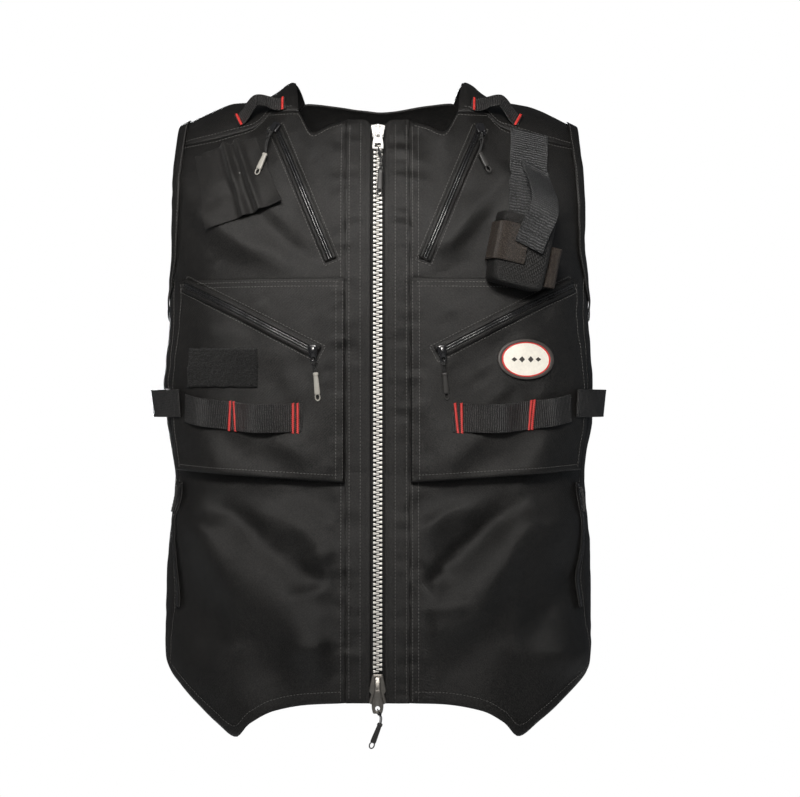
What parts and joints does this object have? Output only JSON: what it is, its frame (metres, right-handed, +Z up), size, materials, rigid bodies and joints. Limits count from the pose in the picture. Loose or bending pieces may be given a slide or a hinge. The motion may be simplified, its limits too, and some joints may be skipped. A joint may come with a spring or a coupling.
{
  "type": "utility work vest",
  "caption": "Black sleeveless utility vest with a full-length two-way metal zip, slanted chest and cargo pockets, webbing loops, an oval badge and a chest radio holder.",
  "frame": {"origin": "midway between the two points where the shoulders meet the neck, at their height, above the side line of the body", "axes": "+Z up, the front faces -Y, +X is the wearer's left"},
  "size_m": [0.4536, 0.2685, 0.6462],
  "materials": {
    "shell_cloth": "plain woven cotton and polyester, matt",
    "black_webbing": "ribbed polyester webbing",
    "pull_cord": "smooth cord",
    "zip_tape": "matt woven tape",
    "coil_zip": "satin coil zip between welts",
    "silver_metal": "satin nickel",
    "dull_metal": "worn nickel",
    "black_metal": "gloss black enamel",
    "grey_grip": "moulded grey",
    "black_grip": "moulded black",
    "loop_pile": "loop pile",
    "badge_rubber": "moulded, off-white field, red line and dark rim",
    "holder_cloth": "coated cloth",
    "elastic": "woven elastic"
  },
  "bodies": {
    "root": {"armhole_binding_left": "shell_cloth", "armhole_binding_right": "shell_cloth", "back_panel": "shell_cloth", "cargo_pocket_left": "shell_cloth", "cargo_pocket_right": "shell_cloth", "cargo_pull_left_cord": "pull_cord", "cargo_pull_left_grip": "black_grip", "cargo_pull_right_cord": "pull_cord", "cargo_pull_right_grip": "grey_grip", "cargo_zip_left": "coil_zip", "cargo_zip_right": "coil_zip", "cargo_zip_slider_left": "black_metal", "cargo_zip_slider_right": "black_metal", "channel_panel": "holder_cloth", "chest_pull_left_cord": "pull_cord", "chest_pull_left_grip": "black_grip", "chest_pull_right_cord": "pull_cord", "chest_pull_right_grip": "grey_grip", "chest_zip_left": "coil_zip", "chest_zip_right": "coil_zip", "chest_zip_slider_left": "black_metal", "chest_zip_slider_right": "black_metal", "front_panel_left": "shell_cloth", "front_panel_right": "shell_cloth", "front_strap_left": "black_webbing", "front_strap_right": "black_webbing", "loop_patch": "loop_pile", "main_pull_bottom_cord": "pull_cord", "main_pull_bottom_grip": "black_grip", "main_pull_top_cord": "pull_cord", "main_pull_top_grip": "black_grip", "main_zip_chain": "silver_metal", "main_zip_slider_bottom": "dull_metal", "main_zip_slider_top": "silver_metal", "main_zip_tab_bottom": "dull_metal", "main_zip_tab_top": "silver_metal", "main_zip_tape_left": "zip_tape", "main_zip_tape_right": "zip_tape", "oval_badge": "badge_rubber", "placket_left": "shell_cloth", "placket_right": "shell_cloth", "radio_band": "elastic", "radio_cup": "holder_cloth", "radio_flap": "black_webbing", "radio_sleeve": "elastic", "radio_strap": "black_webbing", "shoulder_loop_left": "black_webbing", "shoulder_loop_right": "black_webbing", "shoulder_yoke_left": "shell_cloth", "shoulder_yoke_right": "shell_cloth", "side_panel_left": "shell_cloth", "side_panel_right": "shell_cloth", "side_pull_left": "pull_cord", "side_pull_right": "pull_cord", "side_strap_left": "black_webbing", "side_strap_right": "black_webbing", "side_zip_left": "coil_zip", "side_zip_right": "coil_zip"}
  },
  "joints": []
}
